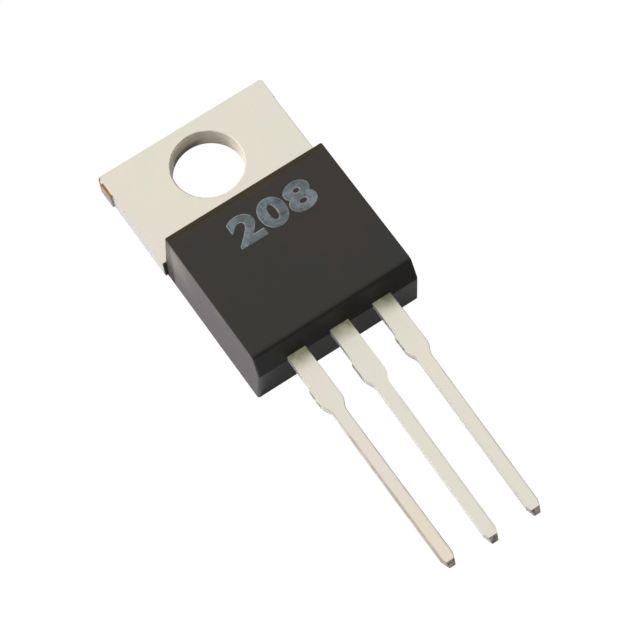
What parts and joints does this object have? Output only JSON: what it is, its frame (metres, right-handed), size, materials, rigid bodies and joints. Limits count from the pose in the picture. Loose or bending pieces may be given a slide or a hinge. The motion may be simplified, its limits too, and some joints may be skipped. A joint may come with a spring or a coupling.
{
  "type": "power transistor",
  "caption": "Through-hole power transistor in a moulded block, with a drilled metal mounting tab at one end and a row of flat leads at the other.",
  "frame": {"origin": "on the axis of the mounting hole, in the plane of the back", "axes": "+X across the package, +Y from the leads to the end of the tab, +Z from the back to the front face; it lies on its back"},
  "size_m": [0.0101, 0.0286, 0.0044],
  "materials": {
    "plated_copper": "satin tin plating over copper, bare copper where it was sheared",
    "moulding": "black epoxy moulding, fine satin grain",
    "silicon": "dark grey, glossy",
    "solder": "dull grey solder",
    "bond_wire": "drawn aluminium wire"
  },
  "bodies": {
    "root": {"collector_frame": "plated_copper", "base_lead": "plated_copper", "emitter_lead": "plated_copper", "moulded_body": "moulding", "silicon_die": "silicon", "die_solder": "solder", "base_wire": "bond_wire", "emitter_wire": "bond_wire"}
  },
  "joints": []
}
